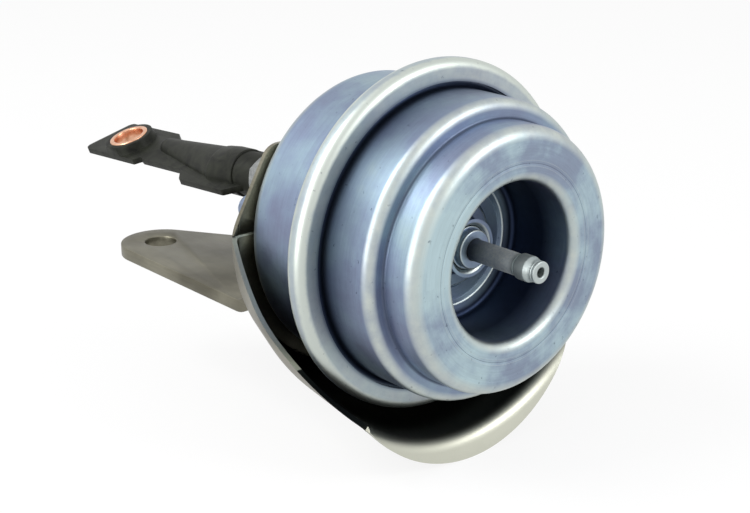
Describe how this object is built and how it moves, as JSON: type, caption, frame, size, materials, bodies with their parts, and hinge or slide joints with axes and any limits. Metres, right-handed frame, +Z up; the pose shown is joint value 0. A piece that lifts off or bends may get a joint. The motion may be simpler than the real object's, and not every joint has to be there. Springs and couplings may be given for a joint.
{
  "type": "turbo actuator",
  "caption": "Vacuum-operated turbocharger actuator: crimped two-part can with a hose nipple, bracket, heat shield and a spring-returned rod with an adjustable bossed rod end.",
  "frame": {"origin": "centre of the bracket arm's bolt hole, on the arm's top face", "axes": "+X along the can's axis from the rod's eye to the vacuum nipple, +Z up out of the bolt hole, +Y to the side away from the viewer"},
  "size_m": [0.145, 0.0666, 0.0743],
  "materials": {
    "plated_steel": "blue-passivated zinc plating, satin",
    "plain_steel": "bright steel",
    "spring_steel": "oiled spring wire",
    "bright_zinc": "bright zinc plating",
    "stainless": "mill-finish stainless steel",
    "rubber": "matte",
    "bush_bronze": "copper-coloured bearing bronze",
    "insert_brass": "turned brass",
    "moulded_plastic": "glass-filled, matte charcoal"
  },
  "bodies": {
    "actuator_body": {"rear_can": "plated_steel", "front_can": "plated_steel", "nipple_collar": "plated_steel", "vacuum_nipple": "plain_steel", "nipple_lock_ring": "plain_steel", "diaphragm": "rubber", "bump_stop": "rubber", "return_spring": "spring_steel", "spring_seat_ring": "plain_steel", "rod_guide_bush": "bush_bronze", "rod_wiper_seal": "rubber", "guide_cap": "plated_steel", "mounting_studs": "plated_steel", "stud_washers": "plated_steel", "stud_nuts": "plated_steel", "heat_shield": "stainless", "mounting_bracket": "stainless"},
    "rod_assembly": {"actuator_rod": "bright_zinc", "piston_cup": "plain_steel", "diaphragm_retainer": "plain_steel", "hub_washer": "plain_steel"},
    "lock_nut": {"lock_nut": "bright_zinc"},
    "rod_end": {"rod_end": "moulded_plastic", "threaded_insert": "insert_brass", "pivot_bush": "bush_bronze"}
  },
  "joints": [
    {"name": "rod_slide", "type": "slide", "parent": "actuator_body", "child": "rod_assembly", "axis": [1, 0, 0], "range_m": [0, 0.012], "stiffness_N_per_m": 790, "springref_m": -0.02, "deforming": ["return_spring", "diaphragm"]},
    {"name": "lock_nut_turn", "type": "hinge", "parent": "rod_assembly", "child": "lock_nut", "pos_m": [0.0163, 0.0182, 0.0135], "axis": [1, 0, 0], "continuous": true},
    {"name": "rod_end_turn", "type": "hinge", "parent": "rod_assembly", "child": "rod_end", "pos_m": [0.0082, 0.0182, 0.0135], "axis": [1, 0, 0], "range_deg": [-90, 90]}
  ]
}
